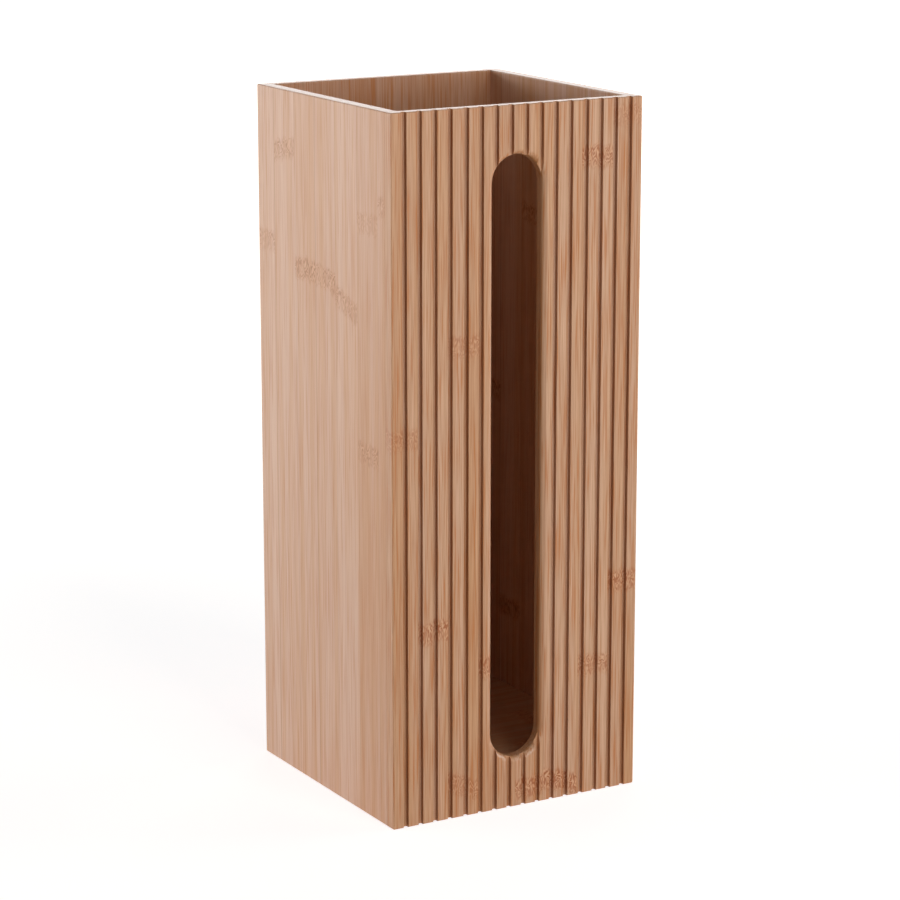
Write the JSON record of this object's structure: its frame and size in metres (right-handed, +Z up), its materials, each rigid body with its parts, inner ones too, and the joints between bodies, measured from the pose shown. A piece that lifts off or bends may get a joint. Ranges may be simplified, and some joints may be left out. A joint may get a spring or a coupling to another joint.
{
  "type": "toilet roll storage cabinet",
  "caption": "Tall open-topped storage box in pale bamboo, with a fluted front, a long round-ended slot and a raised base for a stack of toilet rolls.",
  "frame": {"origin": "middle of the footprint, on the floor", "axes": "+Z up, +X to the right along the fluted front, which faces -Y"},
  "size_m": [0.14, 0.139, 0.352],
  "materials": {
    "front_bamboo": "flat-pressed bamboo board, fluted, with a clear satin lacquer",
    "side_bamboo": "flat-pressed bamboo board with a clear satin lacquer",
    "back_bamboo": "flat-pressed bamboo board with a clear satin lacquer",
    "base_bamboo": "flat-pressed bamboo board, lacquered"
  },
  "bodies": {
    "root": {"front_panel": "front_bamboo", "left_side_panel": "side_bamboo", "right_side_panel": "side_bamboo", "back_panel": "back_bamboo", "base_panel": "base_bamboo"}
  },
  "joints": []
}
